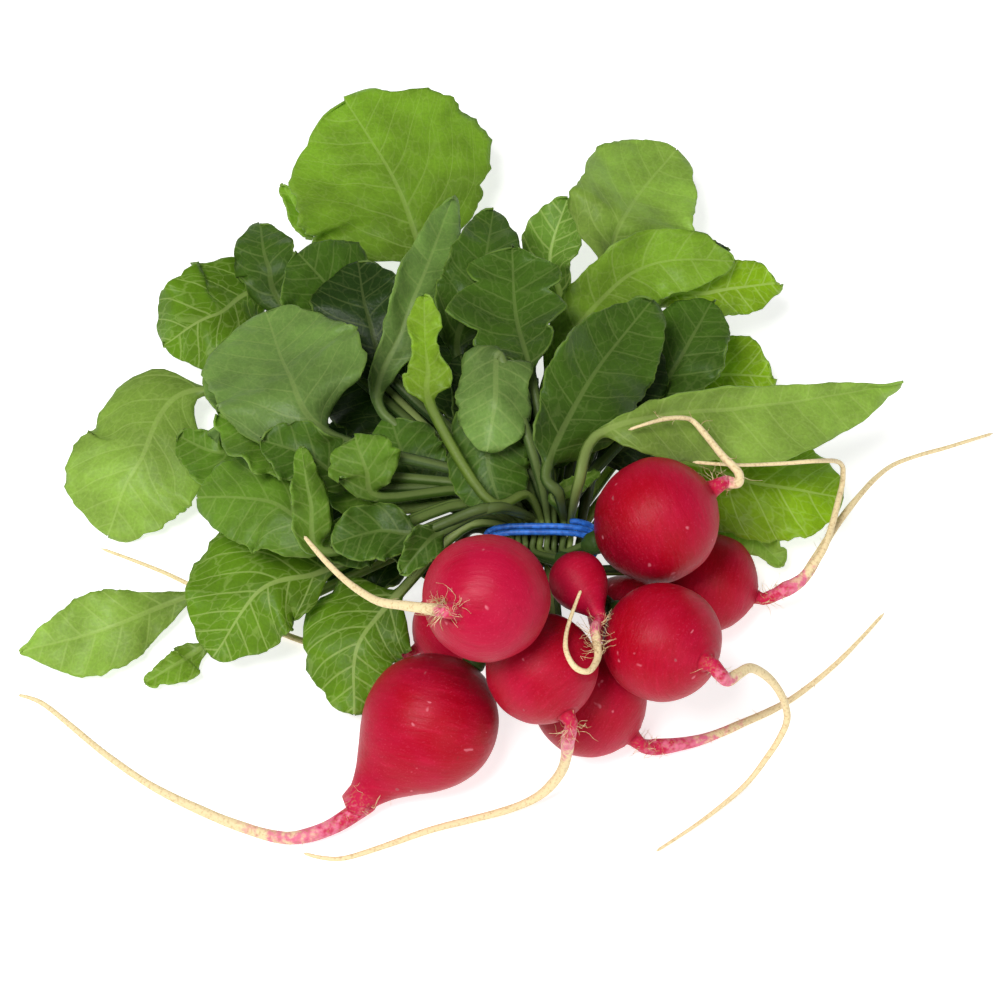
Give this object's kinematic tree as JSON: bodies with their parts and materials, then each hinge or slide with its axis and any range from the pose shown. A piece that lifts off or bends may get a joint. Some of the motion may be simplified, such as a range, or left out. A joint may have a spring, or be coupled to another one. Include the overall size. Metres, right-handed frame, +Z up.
{
  "type": "bunch of radishes",
  "caption": "Bunch of small round red radishes with long thin tails and green leaves, tied at the leaf stems with a thin band and lying on its side.",
  "frame": {"origin": "middle of the small flat spot that the front low radish rests on, at the table", "axes": "+Z up from the table, +Y from the bulbs towards the leaves, +X to the right seen from the bulbs"},
  "size_m": [0.2419, 0.2114, 0.076],
  "materials": {
    "radish_skin": "smooth moist skin, crimson, fading to pink and cream in the tails",
    "radish_leaf": "soft matt leaf with pale veins",
    "band": "smooth blue"
  },
  "bodies": {
    "root": {"root_01": "radish_skin", "root_02": "radish_skin", "root_03": "radish_skin", "root_04": "radish_skin", "root_05": "radish_skin", "root_06": "radish_skin", "root_07": "radish_skin", "root_08": "radish_skin", "root_09": "radish_skin", "root_10": "radish_skin", "top_01": "radish_leaf", "top_02": "radish_leaf", "top_03": "radish_leaf", "top_04": "radish_leaf", "top_05": "radish_leaf", "top_06": "radish_leaf", "top_07": "radish_leaf", "top_08": "radish_leaf", "top_09": "radish_leaf", "top_10": "radish_leaf", "band": "band"}
  },
  "joints": []
}
